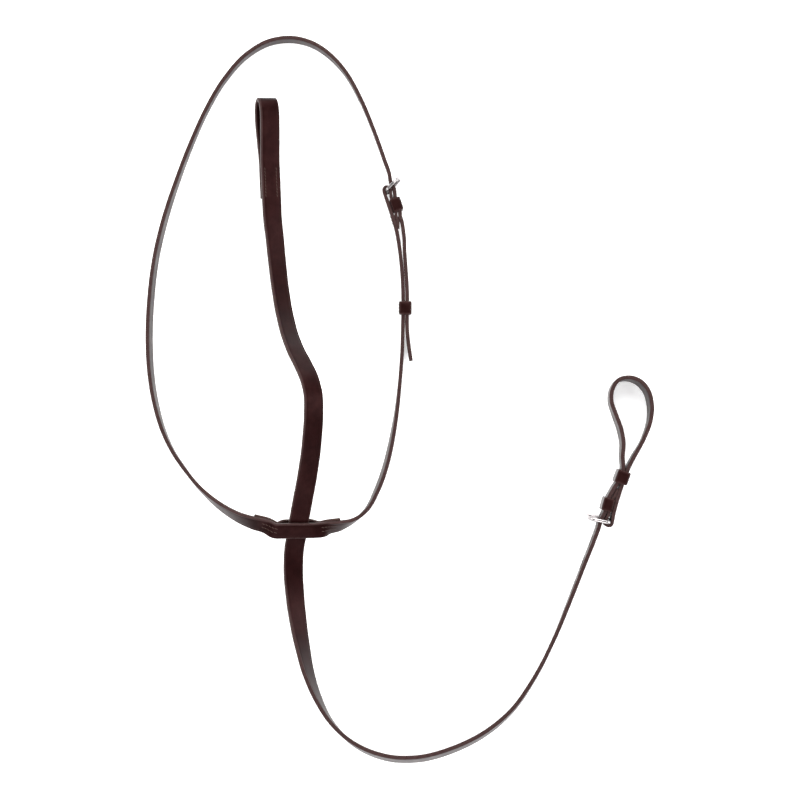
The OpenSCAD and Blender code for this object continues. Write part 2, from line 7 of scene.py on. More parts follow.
import bpy
import numpy as np
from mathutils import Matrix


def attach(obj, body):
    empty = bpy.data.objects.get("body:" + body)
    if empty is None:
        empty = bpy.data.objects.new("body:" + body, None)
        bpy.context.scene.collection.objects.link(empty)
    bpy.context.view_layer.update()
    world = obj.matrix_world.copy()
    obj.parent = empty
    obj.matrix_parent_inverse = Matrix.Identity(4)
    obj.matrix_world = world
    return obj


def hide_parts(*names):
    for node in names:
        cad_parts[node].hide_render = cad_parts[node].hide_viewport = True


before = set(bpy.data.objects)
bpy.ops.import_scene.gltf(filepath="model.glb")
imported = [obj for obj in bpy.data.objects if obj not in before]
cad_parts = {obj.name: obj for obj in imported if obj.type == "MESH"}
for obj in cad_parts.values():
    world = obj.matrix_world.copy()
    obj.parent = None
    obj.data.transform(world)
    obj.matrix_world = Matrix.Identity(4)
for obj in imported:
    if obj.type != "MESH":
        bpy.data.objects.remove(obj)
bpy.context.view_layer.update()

MM = 0.001

# ---- sizes, as in the CAD model ------------------------------------------------------------------
NECK_W, NECK_T = 16 * MM, 3.8 * MM
STAND_W, STAND_T = 20 * MM, 4 * MM
TURN_T, TUCK_T = 3 * MM, 1.2 * MM
BACK_T, BACK_L = 2.6 * MM, 92 * MM
SEWN, RUB = 0.1 * MM, 0.25 * MM
SLOT_CLEAR, SLOT_SIDE, SLOT_RAMP = 0.6 * MM, 0.9 * MM, 8.5 * MM
NECK_WIRE, GIRTH_WIRE = 3 * MM, 3.6 * MM
NECK_FRAME_L, GIRTH_FRAME_L = 16 * MM, 19.5 * MM
FRAME_CLEAR, FRAME_ROUND = 0.5 * MM, 6.5 * MM
TONGUE_D, EYE_CLEAR, FOLD_CLEAR = 2.3 * MM, 0.08 * MM, 0.25 * MM
NECK_TURN_L, GIRTH_TURN_L = 39 * MM, 34 * MM
HOLE_W, HOLE_L, HOLE_PITCH = 4 * MM, 8.2 * MM, 25 * MM
KEEP_T, KEEP_L, KEEP_CLEAR, KEEP_SLACK = 2 * MM, 13 * MM, 0.4 * MM, 0.5 * MM
STITCH_L, STITCH_IN = 3.3 * MM, 3.4 * MM
THREAD_R = 0.36 * MM
# how high the buckles and the sliding keeper hold the strap's lower edge, in mm like the routes
NECK_LIFT, GIRTH_LIFT, KEEP_LIFT = 3.5, 4.1, 2.4
FIXED_KEEPER_S, NECK_KEEPER_S, GIRTH_KEEPER_S = 16.5 * MM, 118 * MM, 46 * MM
UP = np.array([0.0, 0.0, 1.0])

# ---- routes: x, y, height of the lower edge in mm, roll in degrees -------------------------------
NECK_RIGHT = [
    [-16, 207, NECK_LIFT, 90], [-9.4, 188.5, NECK_LIFT, 90], [-3.6, 169, NECK_LIFT, 90],
    [-0.2, 149, NECK_LIFT, 90], [1.9, 129, 3, 90], [3, 109, KEEP_LIFT, 90],
    [3.2, 89, KEEP_LIFT, 90], [2.8, 70, 2, 90], [2.2, 50, 1, 90], [0.5, 25, 0, 90],
    [-2.5, -5, 0, 87], [-7.2, -35, 0, 82], [-15.4, -69.5, 0, 79], [-23, -90, 0.5, 80],
    [-33.6, -109.5, 2, 87], [-41, -116.5, 3.5, 93], [-49.5, -121.5, 5.5, 104],
    [-59.5, -124.8, 9.5, 124], [-70, -126.5, 14.2, 137]]
NECK_LEFT = [
    [-131, -124.5, 28.8, 150], [-144, -121, 26.5, 140], [-158, -116.2, 21.5, 127],
    [-178, -105.2, 12, 113], [-198.5, -88, 5, 100], [-214, -69.5, 1, 95], [-227, -50, 0, 93],
    [-236, -30, 0, 89], [-244.2, 0, 0, 85], [-248.5, 30, 0, 83], [-249.8, 60, 0, 82],
    [-248.2, 100, 0, 82], [-243.5, 139.5, 0, 83], [-234.4, 179, 0, 84], [-221.5, 219, 0, 87],
    [-206.2, 259, 0, 89], [-192.8, 288.5, 0, 90], [-175.4, 318, 0, 90], [-151, 344.5, 0, 88],
    [-131.5, 355.6, 0, 86], [-109.5, 359.1, 0, 84], [-88, 354.4, 0, 84], [-70, 342.8, 0, 85],
    [-56, 328, 0, 87], [-38.8, 298.5, 0, 89], [-26.4, 269, 1, 90], [-15.6, 239, 2.5, 90],
    [-10.6, 224.5, NECK_LIFT, 90]]
GIRTH_LOOP = [
    [210, -121.5, GIRTH_LIFT, 90], [211.8, -110, GIRTH_LIFT, 90], [214.6, -99.5, GIRTH_LIFT, 90],
    [217.8, -89.5, GIRTH_LIFT, 90], [221.2, -79.5, GIRTH_LIFT, 90], [225.2, -69, GIRTH_LIFT, 90],
    [230.2, -59, GIRTH_LIFT, 89], [241.2, -39.6, 3, 87], [248.2, -20, 1.5, 91], [249, -5, 0.5, 95],
    [244.6, 10, 0, 98], [236.5, 18.4, 0, 99], [227, 21.5, 0, 97], [217.5, 19.8, 0, 94],
    [210.6, 10.5, 0, 91], [209.4, -1, 0.5, 89], [213.4, -14.5, 1.5, 87], [218.3, -28.5, 2.5, 86],
    [220.9, -43, 3.5, 88], [220.2, -56, GIRTH_LIFT, 90]]
GROUND_RUN = [
    [197, -125, GIRTH_LIFT, 90], [192, -139, GIRTH_LIFT, 90], [184.2, -159, 3.2, 91],
    [169, -199, 1, 93], [153, -238.5, 0, 96], [132.7, -278.3, 0, 99], [112, -308, 0, 102],
    [89.8, -328, 0, 106], [52, -348, 0, 110], [20, -356.7, 0, 111], [-10, -356.4, 0, 110],
    [-34, -348.8, 0, 106], [-52, -337.6, 0, 100], [-70, -318.5, 0, 91], [-81.5, -297.5, 0, 80],
    [-91, -272, 0, 67], [-97, -246, 0, 54], [-101.6, -220, 0, 41], [-104.5, -196, 1.5, 31],
    [-105.9, -175, 6, 23]]
HUMP = [
    [-92.3, -83, 38.5, 18], [-88, -59, 48, 21], [-84.8, -34, 59, 24], [-83.3, -12, 66, 27],
    [-83.6, 4, 67, 29], [-87.4, 20, 61.5, 33], [-94, 34, 52, 38], [-102, 49, 41, 41],
    [-109, 66.5, 28, 41], [-114.3, 86, 16.5, 40], [-118.3, 107, 8, 39], [-121.6, 131, 2.5, 37],
    [-124.4, 158, 1.8, 33], [-127.2, 186, 3.5, 28], [-127.7, 198.5, 4.6, 25]]
# the noseband loop from the strap's end: mm along the strap and off its face, back to the sewn tail
TAIL = -4.2
LOOP_SIDE = [[10, 0], [24, 0], [31, 0], [37, 0], [50, 1.1], [66, 3], [82, 4.4], [92.5, 3.6],
             [98.2, 0.9], [100, -2.8], [98, -6.6], [92.5, -9.2], [82, -10], [66, -8.6], [50, -5.8],
             [43, TAIL - 0.5], [37, TAIL - 0.1], [30, TAIL], [16, TAIL], [2, TAIL]]


# ---- curves and rails ----------------------------------------------------------------------------
def unit(v):
    return v / np.linalg.norm(v, axis=-1, keepdims=True)


def stand(route, w, t):
    """Route rows in metres, with the height measured to the strap's middle."""
    q = np.array(route, float)
    roll = np.radians(q[:, 3])
    q[:, :3] *= MM
    q[:, 2] += w / 2 * np.abs(np.sin(roll)) + t / 2 * np.abs(np.cos(roll))
    return q


def curve(q, step):
    """A smooth curve through rows q: cubic pieces whose slope at a row blends its two chords."""
    d = np.linalg.norm(np.diff(q[:, :3], axis=0), axis=1)
    chord = np.diff(q, axis=0) / d[:, None]
    m = np.empty_like(q)
    m[0], m[-1] = chord[0], chord[-1]
    a, b = d[:-1, None], d[1:, None]
    m[1:-1] = (chord[:-1] * b + chord[1:] * a) / (a + b)
    rows = []
    for i in range(len(d)):
        n = max(1, math.ceil(d[i] / step))
        u = (np.arange(n) / n)[:, None]
        v = 1 - u
        rows.append(q[i] * (1 + 2 * u) * v * v + m[i] * d[i] * u * v * v
                    + q[i + 1] * u * u * (3 - 2 * u) - m[i + 1] * d[i] * u * u * v)
    return np.vstack(rows + [q[-1:]])


def tangents(p):
    t = np.empty_like(p)
    t[1:-1] = p[2:] - p[:-2]
    t[0], t[-1] = p[1] - p[0], p[-1] - p[-2]
    return unit(t)


def rolled(c):
    """Points of curve c and the direction across the strap at each, from its roll."""
    p, roll = c[:, :3], np.radians(c[:, 3:4])
    t = tangents(p)
    h = unit(np.cross(UP, t))
    return p, np.cos(roll) * h + np.sin(roll) * np.cross(t, h)


class Rail:
    """A strap's middle line, read by distance along it."""

    def __init__(self, p, w):
        self.p, self.w = np.asarray(p), np.asarray(w)
        self.s = np.concatenate([[0], np.cumsum(np.linalg.norm(np.diff(self.p, axis=0), axis=1))])
        self.end = self.s[-1]

    def on(self, s):
        return np.stack([np.interp(s, self.s, self.p[:, k]) for k in range(3)], -1)

    def axes(self, s):
        """Along, across and off the face at s."""
        t = unit(self.on(np.asarray(s) + 0.5 * MM) - self.on(np.asarray(s) - 0.5 * MM))
        w = np.stack([np.interp(s, self.s, self.w[:, k]) for k in range(3)], -1)
        w = unit(w - (w * t).sum(-1, keepdims=True) * t)
        return t, w, np.cross(t, w)

    def beside(self, s, off):
        return self.on(s) - self.axes(s)[2] * np.asarray(off)[..., None]

    def nearest(self, p, lo, hi):
        s = np.arange(lo, hi, 0.25 * MM)
        return s[np.argmin(np.linalg.norm(self.on(s) - p, axis=1))]


def layers(t, wire):
    """Distances of the layers in a buckled end from the strap that carries the buckle."""
    tucked = t / 2 + 2 * SEWN + TUCK_T + TURN_T / 2
    sewn = t / 2 + SEWN + TURN_T / 2
    return {"fold": wire / 2 + FOLD_CLEAR + TURN_T / 2, "tucked": tucked, "sewn": sewn,
            "over_tuck": tucked + TURN_T / 2 + RUB + t / 2,
            "over_sewn": sewn + TURN_T / 2 + RUB + t / 2, "double": t + RUB}


def turned(d, a):
    c, s = math.cos(math.radians(a)), math.sin(math.radians(a))
    return np.array([d[0] * c - d[1] * s, d[0] * s + d[1] * c, 0])


NECK_LAYER, GIRTH_LAYER = layers(NECK_T, NECK_WIRE), layers(STAND_T, GIRTH_WIRE)

# ---- where the straps cross ----------------------------------------------------------------------
SLOT_AT = np.array([-101, -127, 27]) * MM
SKEW, PITCH, FALL, RUN = math.radians(10.6), math.radians(19.1), math.radians(14), 20 * MM
STAND_DIR = np.array([math.sin(SKEW) * math.cos(PITCH), math.cos(SKEW) * math.cos(PITCH), math.sin(PITCH)])
NECK_DIR = np.array([-math.cos(FALL), 0, math.sin(FALL)])
SLOT_UP = unit(np.cross(STAND_DIR, NECK_DIR))
STAND_ROLL = math.degrees(math.asin(-SLOT_UP @ unit(np.cross(UP, STAND_DIR))))
NECK_ROLL = 180 - math.degrees(math.asin(SLOT_UP @ unit(np.cross(UP, NECK_DIR))))
SLOT_GAP = STAND_T + 2 * SLOT_CLEAR
SLOT_HALF = STAND_W / 2 / math.cos(SKEW) + NECK_W / 2 * math.tan(SKEW) + SLOT_SIDE
SLOT_SHARE = 0.2
NECK_BASE = SLOT_AT + SLOT_UP * (SLOT_GAP * (0.5 - SLOT_SHARE) + NECK_T / 2)

STEP = 1.5 * MM
neck_rows = stand(NECK_RIGHT, NECK_W, NECK_T)
girth_rows = stand(GIRTH_LOOP, STAND_W, STAND_T)


def bar_of(rows, layer, swing):
    """The bar's middle and the direction from it to the buckle's front."""
    d = unit(rows[1, :3] - rows[0, :3])
    return rows[0, :3] + np.array([-d[1], d[0], 0]) * layer["fold"], turned(-d, -swing)


NECK_BAR, NECK_FRONT = bar_of(neck_rows, NECK_LAYER, 61)
GIRTH_BAR, GIRTH_FRONT = bar_of(girth_rows, GIRTH_LAYER, 93)
NECK_CROSS, GIRTH_CROSS = 7.1 * MM, 8.1 * MM


def billet(rail, offsets):
    return np.array([[*rail.beside(s * MM, off), 90] for s, off in offsets])


neck_rail = Rail(*rolled(curve(neck_rows, STEP)))
girth_rail = Rail(*rolled(curve(girth_rows, STEP)))
L = NECK_LAYER
neck_billet = billet(neck_rail, [
    (0, L["fold"] + NECK_CROSS), (10, L["over_tuck"]), (16.5, L["over_tuck"]), (23.5, L["over_tuck"]),
    (28, L["over_sewn"] + 0.1 * MM), (34, L["over_sewn"] + 0.1 * MM), (41, L["over_sewn"] - 0.5 * MM),
    (50, L["double"] + 1.9 * MM), (61, L["double"] + 0.6 * MM), (74, L["double"]), (100, L["double"]),
    (118, L["double"]), (135, L["double"]), (148, L["double"] + 1.2 * MM), (158, L["double"] + 2.8 * MM),
    (170, L["double"] + 5.4 * MM)])
L = GIRTH_LAYER
girth_billet = billet(girth_rail, [
    (53, L["double"]), (46, L["double"]), (40, L["double"] + 0.3 * MM), (34, L["over_sewn"] - 1 * MM),
    (28, L["over_sewn"] + 0.2 * MM), (23, L["over_tuck"]), (16.5, L["over_tuck"]), (10, L["over_tuck"])])

STRAIGHT = SLOT_HALF + SLOT_RAMP + 3 * MM
neck_crossing = np.array([[*(NECK_BASE + NECK_DIR * d), NECK_ROLL]
                          for d in np.array([-1, -0.5, 0, 0.5, 1]) * STRAIGHT])
neck_flat_p, neck_w = rolled(curve(np.vstack([
    neck_rows, neck_crossing, stand(NECK_LEFT, NECK_W, NECK_T),
    [[*(NECK_BAR + NECK_FRONT * NECK_CROSS), 90]], neck_billet]), STEP))


def parting(p):
    """How far the neck strap and its backing part round the slot, by distance from its middle."""
    q = p - NECK_BASE
    u = np.clip((SLOT_HALF + SLOT_RAMP - np.abs(q @ NECK_DIR)) / SLOT_RAMP, 0, 1)
    near = (np.linalg.norm(q, axis=1) < 2 * STRAIGHT) & (np.abs(q @ SLOT_UP) < NECK_W)
    return np.where(near, SLOT_GAP * u * u * (3 - 2 * u), 0)[:, None]


neck_p = neck_flat_p + SLOT_UP * SLOT_SHARE * parting(neck_flat_p)
neck_flat_rail, neck_main = Rail(neck_flat_p, neck_w), Rail(neck_p, neck_w)
SLOT_S = neck_flat_rail.nearest(NECK_BASE, 0.2, 0.7)

passing = np.array([[*(SLOT_AT + STAND_DIR * d), STAND_ROLL] for d in np.array([-1, -0.5, 0, 0.5, 1]) * RUN])
stand_p, stand_w = rolled(curve(np.vstack([
    girth_rows, girth_billet, [[*(GIRTH_BAR + GIRTH_FRONT * GIRTH_CROSS), 90]],
    stand(GROUND_RUN, STAND_W, STAND_T), passing, stand(HUMP, STAND_W, STAND_T)]), STEP))
stand_rail = Rail(stand_p, stand_w)
FOOT_T, FOOT_W, FOOT_N = stand_rail.axes(stand_rail.end)
FOOT = stand_rail.on(stand_rail.end)
loop_rows = np.array([[*(FOOT + FOOT_T * a * MM + FOOT_N * b * MM), 0] for a, b in LOOP_SIDE])
loop_p = curve(loop_rows, STEP)[:, :3]


def turned_end(rail, t, layer, bar, turn_l):
    """Points, across directions and thicknesses of a turned end, from its tip to the fold."""
    s = np.linspace(turn_l, 0, 40)
    thick = np.interp(s, [0, turn_l - 6 * MM, turn_l], [TURN_T, TURN_T, TURN_T / 2])
    off = np.interp(s, np.array([0, 1.5, 7, 23, 26]) * MM,
                    [2 * layer["fold"], 2 * layer["fold"], layer["tucked"], layer["tucked"], layer["sewn"]])
    off = np.where(s > 25 * MM, t / 2 + SEWN + thick / 2, off)
    t0, w0, n0 = rail.axes(0.0)
    a = np.radians(np.arange(9, 180, 9))[:, None]
    arc = bar - n0 * layer["fold"] * np.cos(a) - t0 * layer["fold"] * np.sin(a)
    p = np.vstack([rail.beside(s, off), arc])
    return p, np.vstack([rail.axes(s)[1], np.tile(w0, (len(arc), 1))]), \
        np.concatenate([thick, np.full(len(arc), TURN_T)])


# ---- meshes --------------------------------------------------------------------------------------
def mesh_object(name, verts, faces, attributes=None, uv=None):
    mesh = bpy.data.meshes.new(name)
    mesh.from_pydata(np.asarray(verts).tolist(), [], faces)
    mesh.shade_smooth()
    for key, values in (attributes or {}).items():
        mesh.attributes.new(key, "FLOAT", "POINT").data.foreach_set("value", np.asarray(values, np.float32))
    if uv is not None:
        loops = np.empty(len(mesh.loops), np.int32)
        mesh.loops.foreach_get("vertex_index", loops)
        layer = mesh.uv_layers.new(name="Strap")
        layer.data.foreach_set("uv", np.asarray(uv, np.float32)[loops].ravel())
    mesh.validate()
    obj = bpy.data.objects.new(name, mesh)
    bpy.context.scene.collection.objects.link(obj)
    return obj


def finish_piece(obj, material, body, nodes):
    obj.data.materials.append(material)
    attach(obj, body)
    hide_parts(*nodes)


ROUND_POINTS = 7                                                 # points round each edge of a strap


def strap_profile(w):
    """A strap's section as fractions of half its width and thickness, an edge mask and the extra
    depth of its crease lines: two flat faces with a pressed line inside each edge, and round edges."""
    b = w / 2
    inset = np.array([1.0, 1.35, 1.75, 2.1, 2.5, 3.2, 4.6, 6.2]) * MM
    groove = np.array([0, 0, 0.10, 0.16, 0.06, 0, 0, 0]) * MM
    half = 1 - inset / b
    y = np.concatenate([half, [0], -half[::-1]])
    g = np.concatenate([groove, [0], groove[::-1]])
    edge = np.concatenate([[0.8, 0.35], np.zeros(len(y) - 4), [0.35, 0.8]])
    a = np.radians(np.array([68, 42, 18, 0, -18, -42, -68]))
    round_y = half[0] + (1 - half[0]) * np.cos(a) ** 0.8
    round_z = np.sign(a) * np.abs(np.sin(a)) ** 0.8
    ys = np.concatenate([y, -round_y, y[::-1], round_y[::-1]])
    zs = np.concatenate([np.ones(len(y)), round_z, -np.ones(len(y)), round_z[::-1]])
    es = np.concatenate([edge, np.ones(ROUND_POINTS), edge[::-1], np.ones(ROUND_POINTS)])
    gs = np.concatenate([g, np.zeros(ROUND_POINTS), g[::-1], np.zeros(ROUND_POINTS)])
    return ys, zs, es, gs, len(y)


def obround(x, y, a, b, n=3.0):
    """Scale that brings direction (x, y) onto a rounded outline a by b."""
    return 1 / ((np.abs(x) / a) ** n + (np.abs(y) / b) ** n) ** (1 / n)


def strap(name, p, w, width, thick, full_w, full_t, holes):
    """A strap: its profile carried along p. width and thick are per point; each hole is
    (distance along, length, width, thickness there) and is cut through both faces with a round wall."""
    rail = Rail(p, w)
    t = tangents(p)
    w = unit(w - (w * t).sum(1, keepdims=True) * t)
    n = np.cross(t, w)
    ys, zs, es, gs, face = strap_profile(full_w)
    count, m = len(p), len(ys)
    wander = 0.10 * MM * (np.sin(rail.s * 210) + 0.6 * np.sin(rail.s * 487 + 1))
    y = ys[None] * width[:, None] / 2 + wander[:, None] * 0.5
    squeeze = np.minimum(1, width / full_w)[:, None]
    z = zs[None] * thick[:, None] / 2 - np.sign(zs)[None] * gs[None] * squeeze
    verts = p[:, None] + w[:, None] * y[..., None] + n[:, None] * z[..., None]
    bend = np.zeros(count)
    bend[1:-1] = ((t[2:] - t[:-2]) * n[1:-1]).sum(1) / np.maximum(rail.s[2:] - rail.s[:-2], 1e-6)
    around = np.concatenate([[0], np.cumsum(np.hypot(np.diff(ys) * full_w / 2, np.diff(zs) * full_t / 2))])
    verts = list(verts.reshape(-1, 3))
    edge = list(np.tile(es, count))
    bends = list((bend[:, None] * np.sign(zs)[None]).ravel())
    uv = [(s, a) for s in rail.s for a in around]
    keep = np.ones((count - 1, m), bool)
    faces = []
    for s0, hole_l, hole_w, hole_t in holes:
        i0 = int(np.searchsorted(rail.s, s0 - hole_l / 2 - 1.2 * MM)) - 1
        i1 = int(np.searchsorted(rail.s, s0 + hole_l / 2 + 1.2 * MM))
        inside = np.where(np.abs(ys[:face]) * full_w / 2 < hole_w / 2 + 0.9 * MM)[0]
        j0, j1 = inside[0] - 1, inside[-1] + 1
        mirror = 2 * face + ROUND_POINTS - 1                     # top column j lies over mirror - j
        keep[i0:i1, j0:j1] = False
        keep[i0:i1, mirror - j1:mirror - j0] = False
        loop = [(i0, j) for j in range(j0, j1)] + [(i, j1) for i in range(i0, i1)] \
            + [(i1, j) for j in range(j1, j0, -1)] + [(i, j0) for i in range(i1, i0, -1)]
        rings = [[i * m + j for i, j in loop]]
        for depth, grow in ((1.0, 1.10), (0.93, 1.0), (0.0, 0.95), (-0.93, 1.0), (-1.0, 1.10)):
            ring = []
            for i, j in loop:
                x, yy = rail.s[i] - s0, ys[j] * full_w / 2
                k = obround(x, yy, hole_l / 2, hole_w / 2) * grow
                _, ww, nn = rail.axes(s0 + x * k)
                verts.append(rail.on(s0 + x * k) + ww * yy * k + nn * depth * hole_t / 2)
                edge.append(0.5 if abs(depth) == 1 else 1.0)
                bends.append(0.0)
                uv.append((s0 + x * k, around[j]))
                ring.append(len(verts) - 1)
            rings.append(ring)
        rings.append([i * m + mirror - j for i, j in loop])
        for a, b in zip(rings, rings[1:]):
            for k in range(len(a)):
                k2 = (k + 1) % len(a)
                faces.append((a[k], b[k], b[k2], a[k2]))
    for i in range(count - 1):
        for j in range(m):
            if keep[i, j]:
                k = (j + 1) % m
                faces.append((i * m + j, i * m + k, (i + 1) * m + k, (i + 1) * m + j))
    for i, flip in ((0, True), (count - 1, False)):
        verts.append(p[i] + t[i] * (0.3 * MM if i else -0.3 * MM))
        edge.append(1.0)
        bends.append(0.0)
        uv.append((rail.s[i], around[face // 2]))
        for j in range(m):
            k = (j + 1) % m
            tri = (i * m + j, i * m + k, len(verts) - 1)
            faces.append(tri[::-1] if flip else tri)
    return mesh_object(name, verts, faces, {"edge": edge, "bend": bends}, uv)


def grid_faces(n, m, close_n=False):
    """Quads of n rings of m points, each ring closed; the rings themselves join up if close_n."""
    return [(i * m + j, i * m + (j + 1) % m, (i + 1) % n * m + (j + 1) % m, (i + 1) % n * m + j)
            for i in range(n if close_n else n - 1) for j in range(m)]


def keeper(name, rail, s, w, lo, hi, back_t):
    """A loop of leather round the strap: a flat rounded profile carried round a rounded oblong.
    Its wall is back_t thick on the face side and KEEP_T elsewhere."""
    t, across, n = rail.axes(s)
    o = rail.on(s)
    y = w / 2 + KEEP_CLEAR
    base = 0.35 * 1.3 * MM                                       # radius of the opening's corners
    n_arc = 7
    rows = []
    for sy, sz, start in ((1, 1, 0), (-1, 1, 90), (-1, -1, 180), (1, -1, 270)):
        edge_z = hi if sz > 0 else lo
        wall = back_t if sz > 0 else KEEP_T
        for k in range(n_arc):
            a = math.radians(start + 90 * k / (n_arc - 1))
            rows.append((sy * (y - base), edge_z - sz * base, math.cos(a), math.sin(a), wall, k))
    path = []
    for i, (py, pz, cy, cz, wall, k) in enumerate(rows):
        path.append((py, pz, cy, cz, wall))
        if k == n_arc - 1:
            ny, nz, _, _, nwall, _ = rows[(i + 1) % len(rows)]
            for f in (0.2, 0.4, 0.6, 0.8):
                path.append((py + (ny - py) * f, pz + (nz - pz) * f, cy, cz, wall + (nwall - wall) * f))
    xs = np.array([1, 0.985, 0.93, 0.84, 0.80, 0.76, 0.5, 0, -0.5, -0.76, -0.80, -0.84, -0.93, -0.985, -1])
    dip = np.array([1.15, 0.62, 0.26, 0.10, 0.24, 0.06, 0, 0, 0, 0.06, 0.24, 0.10, 0.26, 0.62, 1.15])
    inner = np.array([-1, -0.97, -0.5, 0.5, 0.97, 1])
    verts, edge = [], []
    for py, pz, cy, cz, wall in path:
        for x, d in zip(xs, dip):
            r = base + wall - d * min(1.0, wall / KEEP_T) * MM
            verts.append(o + t * x * KEEP_L / 2 + across * (py + cy * r) + n * (pz + cz * r))
            edge.append(1.0 if d > 0.15 else 0.0)
        for x in inner:
            r = base + (0.25 * MM if abs(x) == 1 else 0.02 * MM)
            verts.append(o + t * x * KEEP_L / 2 + across * (py + cy * r) + n * (pz + cz * r))
            edge.append(1.0)
    m = len(xs) + len(inner)
    uv = [(i * 2 * MM, j * 0.8 * MM) for i in range(len(path)) for j in range(m)]
    masks = {"edge": edge, "bend": [0] * len(verts)}
    return mesh_object(name, verts, grid_faces(len(path), m, True), masks, uv)


def tube(points, radius, closed, around, side):
    """A round bar carried along points, its section counted from the direction side. radius is one
    number or one per point; an open bar ends in a low cone."""
    p = np.asarray(points)
    t = (np.roll(p, -1, 0) - np.roll(p, 1, 0)) if closed else tangents(p)
    t = unit(t)
    a_dir = unit(side - (t @ side)[:, None] * t)
    b_dir = np.cross(t, a_dir)
    a = np.radians(np.arange(around) * 360 / around)
    r = np.broadcast_to(radius, len(p))[:, None, None]
    v = p[:, None] + r * (np.cos(a)[None, :, None] * a_dir[:, None]
                          + np.sin(a)[None, :, None] * b_dir[:, None])
    faces = grid_faces(len(p), around, closed)
    v = v.reshape(-1, 3)
    if not closed:
        v = np.vstack([v, p[0] - t[0] * radius[0] * 0.4, p[-1] + t[-1] * radius[-1] * 0.4])
        e = len(p) * around
        for j in range(around):
            k = (j + 1) % around
            faces.append((k, j, e))
            faces.append((e - around + j, e - around + k, e + 1))
    return v, faces


def to_bar(v, bar, front):
    """Moves points from a buckle's own axes (bar up, front towards X) to its place."""
    x, y = front, np.array([-front[1], front[0], 0])
    return bar + v[:, :1] * x + v[:, 1:2] * y + v[:, 2:] * UP


def buckle_frame(name, wire, inside, length, bar, front):
    """One closed bar round an oblong: small corners at the bar, a full round at each front corner."""
    half, small = inside / 2 + wire / 2, 0.75 * wire
    front_x, front_z = length - FRAME_ROUND, half - FRAME_ROUND
    corners = ((small, half - small, small, 180, 90), (front_x, front_z, FRAME_ROUND, 90, 0),
               (front_x, -front_z, FRAME_ROUND, 0, -90), (small, small - half, small, -90, -180))
    pts = []
    for cx, cz, r, a0, a1 in corners:
        for a in np.radians(np.linspace(a0, a1, 15)):
            pts.append((cx + r * math.cos(a), 0, cz + r * math.sin(a)))
    pts = np.array(pts)
    full = []
    for a, b in zip(pts, np.roll(pts, -1, 0)):
        gap = np.linalg.norm(b - a)
        n = max(1, int(gap / (1.2 * MM)))
        full += [a + (b - a) * k / n for k in range(n)]
    v, f = tube(np.array(full), wire / 2 * 0.995, True, 24, np.array([0, 1.0, 0]))
    return mesh_object(name, to_bar(v, bar, front), f)


def buckle_tongue(name, wire, length, bar, front):
    """A bar curled once round the buckle's bar, then straight to the front and tapered at the tip."""
    e = wire / 2 + EYE_CLEAR + TONGUE_D / 2
    a = np.radians(np.linspace(-415, -90, 40))
    ring = np.stack([e * np.cos(a), e * np.sin(a), 0 * a], 1)
    tip = length + wire / 2 + 0.7 * MM
    x = np.linspace(0, 1, 30)[1:]
    shank = np.stack([x * tip, np.full(len(x), -e), 0 * x], 1)
    p = np.vstack([ring, shank])
    r = np.full(len(p), TONGUE_D / 2 - 0.1 * MM)
    r[len(ring):] = TONGUE_D / 2 * np.interp(x, [0, 0.1, 0.7, 0.93, 1], [0.92, 0.98, 0.98, 0.8, 0.45])
    r[0] *= 0.7
    v, f = tube(p, r, False, 20, UP)
    return mesh_object(name, to_bar(v, bar, front), f)


def stitches(name, places):
    """Rows of waxed stitches. Each is a short two-ply thread that comes out of one hole, lies on the
    leather and goes into the next; a place is (point, along, across, outward)."""
    verts, faces = [], []
    n, m = 11, 8
    a = np.radians(np.arange(m) * 360 / m)
    for o, t, w, out in places:
        u = np.linspace(0, 1, n)
        x = (u - 0.5) * STITCH_L * 0.9
        lift = (0.9 * np.sin(np.pi * u) ** 0.5 - 0.72) * THREAD_R
        slant = (u - 0.5) * 0.55 * MM
        c = o + np.outer(x, t) + np.outer(slant, w) + np.outer(lift, out)
        r = THREAD_R * (0.72 + 0.28 * np.sin(np.pi * u) ** 0.5)
        ply = 1 + 0.13 * np.cos(2 * a[None] + u[:, None] * 14)
        v = c[:, None] + (r[:, None] * ply * np.cos(a)[None])[..., None] * w \
            + (r[:, None] * ply * np.sin(a)[None])[..., None] * out * 0.85
        base = len(verts)
        verts += list(v.reshape(-1, 3))
        turn = np.dot(np.cross(w, out), t) > 0
        for f in grid_faces(n, m):
            f = tuple(base + k for k in f)
            faces.append(f if turn else f[::-1])
        first, last = [base + j for j in range(m)], [base + (n - 1) * m + j for j in range(m)]
        faces.append(tuple(first[::-1] if turn else first))
        faces.append(tuple(last if turn else last[::-1]))
    return mesh_object(name, verts, faces)


def stitch_places(rail, start, end, y, top, bottom):
    """Places of a row on both faces: top and bottom are distances along the off-face direction."""
    out = []
    for i in range(round((end - start) / STITCH_L)):
        s = start + (i + 0.5) * STITCH_L
        t, w, n = rail.axes(s)
        o = rail.on(s) + w * y
        out.append((o + n * top, t, w, -n))
        out.append((o + n * bottom, t, w, n))
    return out


